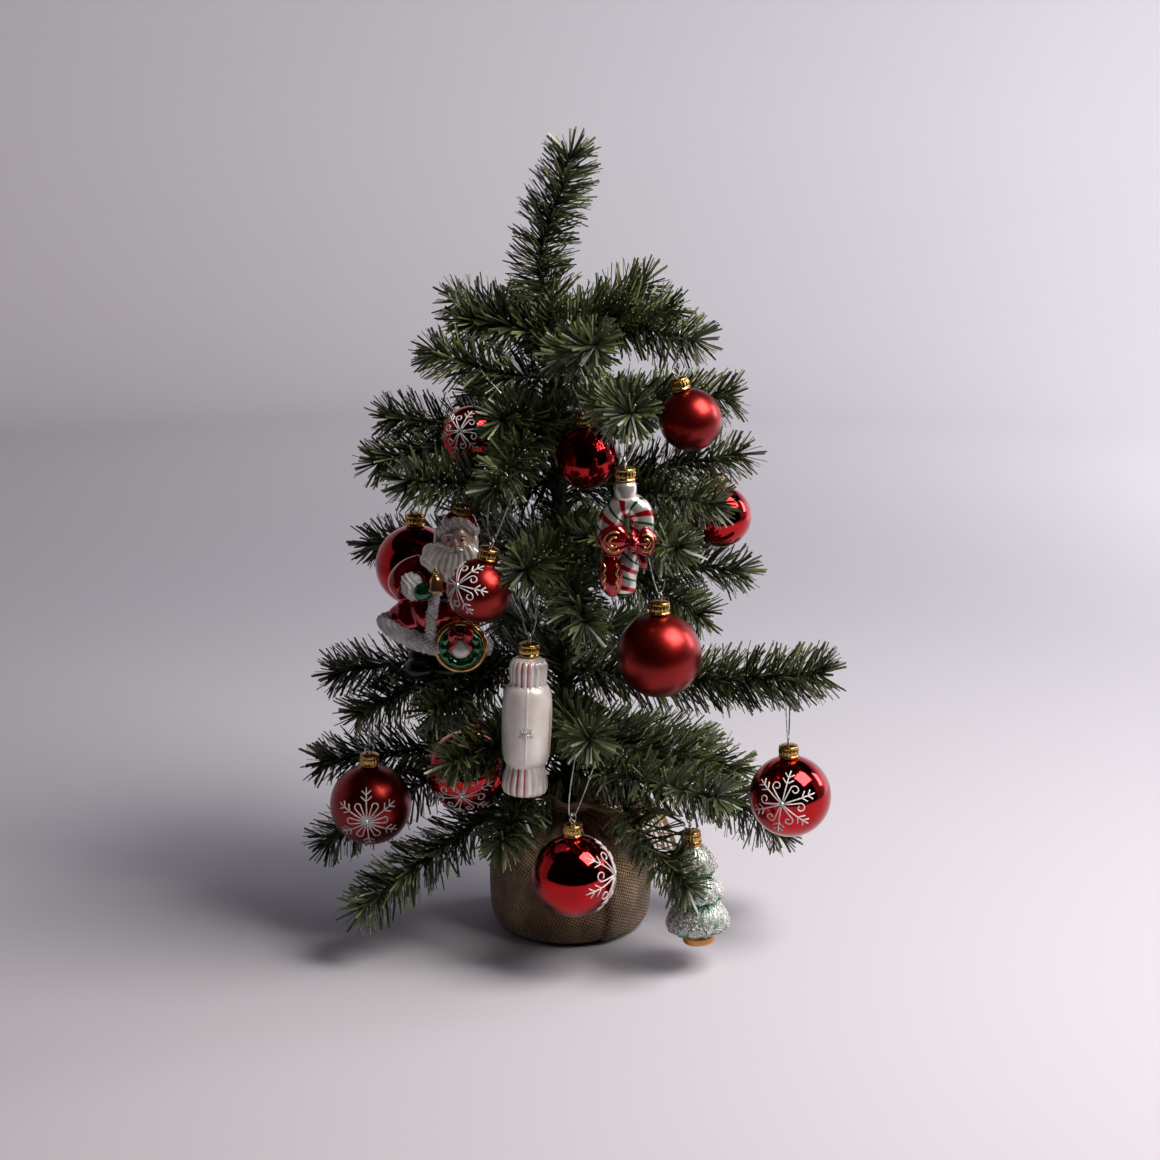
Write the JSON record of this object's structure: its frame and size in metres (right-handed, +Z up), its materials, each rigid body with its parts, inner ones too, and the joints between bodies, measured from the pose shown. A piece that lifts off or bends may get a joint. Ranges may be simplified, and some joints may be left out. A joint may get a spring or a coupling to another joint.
{
  "type": "artificial tabletop tree",
  "caption": "Small artificial fir of wired garland branches on a trunk in a weighted burlap sack, hung with hooked glass baubles and figure ornaments.",
  "frame": {"origin": "centre of the sack's flat underside, on the table", "axes": "+Z up the trunk, +X to the right seen from the front, +Y to the back"},
  "size_m": [0.386, 0.277, 0.594],
  "materials": {
    "foliage": "soft PVC needles on twisted wire, dark green",
    "trunk_wrap": "dull dark green wrap over wire",
    "burlap": "coarse open jute weave, natural brown",
    "twine": "twisted jute twine",
    "cement": "rough cast cement",
    "matte_red_glass": "frosted red over silvered glass",
    "gloss_red_glass": "mirror-bright red over silvered glass",
    "pearl_glass": "pearl white lacquer with painted stripes",
    "snow_glass": "silvered glass with white glitter snow and green bands",
    "painted_glass": "hand-painted lacquer on glass",
    "gold_cap": "thin stamped gold cap with a silver wire hook"
  },
  "bodies": {
    "stand": {"burlap_sack": "burlap", "base_weight": "cement", "sack_tie": "twine", "trunk_pole": "trunk_wrap"},
    "leader": {"leader": "foliage"},
    "branch_01": {"branch_01": "foliage"},
    "branch_02": {"branch_02": "foliage"},
    "branch_03": {"branch_03": "foliage"},
    "branch_04": {"branch_04": "foliage"},
    "branch_05": {"branch_05": "foliage"},
    "branch_06": {"branch_06": "foliage"},
    "branch_07": {"branch_07": "foliage"},
    "branch_08": {"branch_08": "foliage"},
    "branch_09": {"branch_09": "foliage"},
    "branch_10": {"branch_10": "foliage"},
    "branch_11": {"branch_11": "foliage"},
    "branch_12": {"branch_12": "foliage"},
    "branch_13": {"branch_13": "foliage"},
    "branch_14": {"branch_14": "foliage"},
    "branch_15": {"branch_15": "foliage"},
    "branch_16": {"branch_16": "foliage"},
    "branch_17": {"branch_17": "foliage"},
    "branch_18": {"branch_18": "foliage"},
    "branch_19": {"branch_19": "foliage"},
    "branch_20": {"branch_20": "foliage"},
    "branch_21": {"branch_21": "foliage"},
    "branch_22": {"branch_22": "foliage"},
    "branch_23": {"branch_23": "foliage"},
    "branch_24": {"branch_24": "foliage"},
    "branch_25": {"branch_25": "foliage"},
    "bauble_01": {"bauble_01_glass": "matte_red_glass", "bauble_01_hanger": "gold_cap"},
    "bauble_02": {"bauble_02_glass": "gloss_red_glass", "bauble_02_hanger": "gold_cap"},
    "cane": {"cane_glass": "pearl_glass", "cane_hanger": "gold_cap"},
    "bauble_03": {"bauble_03_glass": "gloss_red_glass", "bauble_03_hanger": "gold_cap"},
    "bauble_04": {"bauble_04_glass": "matte_red_glass", "bauble_04_hanger": "gold_cap"},
    "bauble_05": {"bauble_05_glass": "gloss_red_glass", "bauble_05_hanger": "gold_cap"},
    "snowy_tree": {"snowy_tree_glass": "snow_glass", "snowy_tree_hanger": "gold_cap"},
    "bauble_06": {"bauble_06_glass": "gloss_red_glass", "bauble_06_hanger": "gold_cap"},
    "candy": {"candy_glass": "pearl_glass", "candy_hanger": "gold_cap"},
    "bauble_07": {"bauble_07_glass": "matte_red_glass", "bauble_07_hanger": "gold_cap"},
    "bauble_08": {"bauble_08_glass": "gloss_red_glass", "bauble_08_hanger": "gold_cap"},
    "santa": {"santa_glass": "painted_glass", "santa_hanger": "gold_cap"},
    "bauble_09": {"bauble_09_glass": "matte_red_glass", "bauble_09_hanger": "gold_cap"},
    "bauble_10": {"bauble_10_glass": "gloss_red_glass", "bauble_10_hanger": "gold_cap"},
    "bauble_11": {"bauble_11_glass": "gloss_red_glass", "bauble_11_hanger": "gold_cap"}
  },
  "joints": [
    {"name": "branch_01_bend", "type": "hinge", "parent": "stand", "child": "branch_01", "pos_m": [-0.01975, 0.00253, 0.448], "axis": [0.2939, 0.9558, 0], "range_deg": [-25, 25]},
    {"name": "branch_02_bend", "type": "hinge", "parent": "stand", "child": "branch_02", "pos_m": [-0.01907, -0.0015, 0.418], "axis": [-0.1743, 0.9847, 0], "range_deg": [-9, 25]},
    {"name": "branch_03_bend", "type": "hinge", "parent": "stand", "child": "branch_03", "pos_m": [-0.00308, 0.00062, 0.452], "axis": [0.0725, -0.9974, 0], "range_deg": [-18, 25]},
    {"name": "branch_04_bend", "type": "hinge", "parent": "stand", "child": "branch_04", "pos_m": [-0.00842, -0.00817, 0.434], "axis": [-0.9504, -0.3111, 0], "range_deg": [-10, 15]},
    {"name": "branch_05_bend", "type": "hinge", "parent": "stand", "child": "branch_05", "pos_m": [-0.01005, 0.00851, 0.44], "axis": [0.9897, -0.1434, 0], "range_deg": [-25, 25]},
    {"name": "branch_06_bend", "type": "hinge", "parent": "stand", "child": "branch_06", "pos_m": [-0.01773, 0.00091, 0.372], "axis": [0.1055, 0.9944, 0], "range_deg": [-25, 25]},
    {"name": "branch_07_bend", "type": "hinge", "parent": "stand", "child": "branch_07", "pos_m": [-0.01507, -0.00515, 0.34], "axis": [-0.5983, 0.8013, 0], "range_deg": [-6, 9]},
    {"name": "branch_08_bend", "type": "hinge", "parent": "stand", "child": "branch_08", "pos_m": [-0.01315, -0.00784, 0.386], "axis": [-0.9116, 0.4111, 0], "range_deg": [-6, 25]},
    {"name": "branch_09_bend", "type": "hinge", "parent": "stand", "child": "branch_09", "pos_m": [-0.0026, -0.00451, 0.396], "axis": [-0.5246, -0.8514, 0], "range_deg": [-4, 25]},
    {"name": "branch_10_bend", "type": "hinge", "parent": "stand", "child": "branch_10", "pos_m": [0.00046, -0.00186, 0.332], "axis": [-0.2162, -0.9763, 0], "range_deg": [-6, 15]},
    {"name": "branch_11_bend", "type": "hinge", "parent": "stand", "child": "branch_11", "pos_m": [-0.00775, 0.00847, 0.374], "axis": [0.9849, -0.1734, 0], "range_deg": [-25, 25]},
    {"name": "branch_12_bend", "type": "hinge", "parent": "stand", "child": "branch_12", "pos_m": [-0.01411, 0.00402, 0.286], "axis": [0.467, 0.8843, 0], "range_deg": [-10, 25]},
    {"name": "branch_13_bend", "type": "hinge", "parent": "stand", "child": "branch_13", "pos_m": [-0.00685, -0.0086, 0.288], "axis": [-0.9995, 0.0326, 0], "range_deg": [-2, 25]},
    {"name": "branch_14_bend", "type": "hinge", "parent": "stand", "child": "branch_14", "pos_m": [0.00234, -0.00103, 0.276], "axis": [-0.1202, -0.9928, 0], "range_deg": [-24, 6]},
    {"name": "branch_15_bend", "type": "hinge", "parent": "stand", "child": "branch_15", "pos_m": [-0.00161, -0.0067, 0.302], "axis": [-0.7787, -0.6274, 0], "range_deg": [-15, 20]},
    {"name": "branch_16_bend", "type": "hinge", "parent": "stand", "child": "branch_16", "pos_m": [-0.00512, 0.0085, 0.284], "axis": [0.988, -0.1543, 0], "range_deg": [-25, 25]},
    {"name": "branch_17_bend", "type": "hinge", "parent": "stand", "child": "branch_17", "pos_m": [-0.01225, -0.00272, 0.208], "axis": [-0.3162, 0.9487, 0], "range_deg": [-3, 9]},
    {"name": "branch_18_bend", "type": "hinge", "parent": "stand", "child": "branch_18", "pos_m": [0.00438, -0.00251, 0.2], "axis": [-0.2922, -0.9564, 0], "range_deg": [-15, 18]},
    {"name": "branch_19_bend", "type": "hinge", "parent": "stand", "child": "branch_19", "pos_m": [-0.00506, -0.0083, 0.166], "axis": [-0.9646, 0.2636, 0], "range_deg": [-9, 25]},
    {"name": "branch_20_bend", "type": "hinge", "parent": "stand", "child": "branch_20", "pos_m": [-0.00303, 0.00855, 0.204], "axis": [0.994, -0.1096, 0], "range_deg": [-25, 25]},
    {"name": "branch_21_bend", "type": "hinge", "parent": "stand", "child": "branch_21", "pos_m": [-0.01057, 0.00041, 0.14], "axis": [0.0473, 0.9989, 0], "range_deg": [-25, 25]},
    {"name": "branch_22_bend", "type": "hinge", "parent": "stand", "child": "branch_22", "pos_m": [-0.00731, -0.00612, 0.117], "axis": [-0.7121, 0.7021, 0], "range_deg": [-6, 6]},
    {"name": "branch_23_bend", "type": "hinge", "parent": "stand", "child": "branch_23", "pos_m": [0.00624, 0.00103, 0.15], "axis": [0.1201, -0.9928, 0], "range_deg": [-9, 25]},
    {"name": "branch_24_bend", "type": "hinge", "parent": "stand", "child": "branch_24", "pos_m": [0.00423, -0.00642, 0.124], "axis": [-0.7467, -0.6652, 0], "range_deg": [-24, 25]},
    {"name": "branch_25_bend", "type": "hinge", "parent": "stand", "child": "branch_25", "pos_m": [-0.00158, 0.00859, 0.142], "axis": [0.9985, -0.054, 0], "range_deg": [-25, 25]},
    {"name": "leader_bend", "type": "hinge", "parent": "stand", "child": "leader", "pos_m": [-0.01197, 0, 0.469], "axis": [0, 1, 0], "range_deg": [-25, 25]},
    {"name": "bauble_01_swing", "type": "hinge", "parent": "branch_03", "child": "bauble_01", "pos_m": [0.07944, -0.01889, 0.44939], "axis": [0.9462, -0.3237, 0], "range_deg": [-12, 6]},
    {"name": "bauble_02_swing", "type": "hinge", "parent": "branch_04", "child": "bauble_02", "pos_m": [0.00465, -0.04811, 0.44167], "axis": [0.3111, -0.9504, 0], "range_deg": [-6, 9]},
    {"name": "cane_swing", "type": "hinge", "parent": "branch_09", "child": "cane", "pos_m": [0.04018, -0.10338, 0.40946], "axis": [0.1573, -0.9875, 0], "range_deg": [-12, 8]},
    {"name": "bauble_03_swing", "type": "hinge", "parent": "branch_10", "child": "bauble_03", "pos_m": [0.10072, 0.00096, 0.35746], "axis": [0.9998, -0.0204, 0], "range_deg": [-15, 15]},
    {"name": "bauble_04_swing", "type": "hinge", "parent": "branch_15", "child": "bauble_04", "pos_m": [0.06205, -0.08571, 0.31361], "axis": [0.6274, -0.7787, 0], "range_deg": [-15, 15]},
    {"name": "bauble_05_swing", "type": "hinge", "parent": "branch_18", "child": "bauble_05", "pos_m": [0.15694, -0.04912, 0.208], "axis": [0.9564, -0.2922, 0], "range_deg": [-12, 15]},
    {"name": "snowy_tree_swing", "type": "hinge", "parent": "branch_24", "child": "snowy_tree", "pos_m": [0.08805, -0.09008, 0.13424], "axis": [0.7077, -0.7065, 0], "range_deg": [-6, 12]},
    {"name": "bauble_06_swing", "type": "hinge", "parent": "branch_19", "child": "bauble_06", "pos_m": [0.01263, -0.10381, 0.17998], "axis": [0.1821, -0.9833, 0], "range_deg": [-12, 12]},
    {"name": "candy_swing", "type": "hinge", "parent": "branch_13", "child": "candy", "pos_m": [-0.02747, -0.09421, 0.29984], "axis": [-0.2342, -0.9722, 0], "range_deg": [-2, 5]},
    {"name": "bauble_07_swing", "type": "hinge", "parent": "branch_17", "child": "bauble_07", "pos_m": [-0.14989, -0.03631, 0.17816], "axis": [-0.9395, -0.3426, 0], "range_deg": [-12, 15]},
    {"name": "bauble_08_swing", "type": "hinge", "parent": "branch_17", "child": "bauble_08", "pos_m": [-0.0728, -0.04045, 0.19828], "axis": [-0.6108, -0.7918, 0], "range_deg": [-12, 10]},
    {"name": "santa_swing", "type": "hinge", "parent": "branch_07", "child": "santa", "pos_m": [-0.08301, -0.05587, 0.35188], "axis": [-0.8013, -0.5983, 0], "range_deg": [-3, 9]},
    {"name": "bauble_09_swing", "type": "hinge", "parent": "branch_08", "child": "bauble_09", "pos_m": [-0.04699, -0.10066, 0.36183], "axis": [-0.3659, -0.9306, 0], "range_deg": [-4, 6]},
    {"name": "bauble_10_swing", "type": "hinge", "parent": "branch_06", "child": "bauble_10", "pos_m": [-0.12021, 0.00998, 0.35821], "axis": [-0.9972, 0.0752, 0], "range_deg": [-4, 12]},
    {"name": "bauble_11_swing", "type": "hinge", "parent": "branch_02", "child": "bauble_11", "pos_m": [-0.06413, -0.00947, 0.4257], "axis": [-0.9847, -0.1743, 0], "range_deg": [-2, 8]}
  ]
}
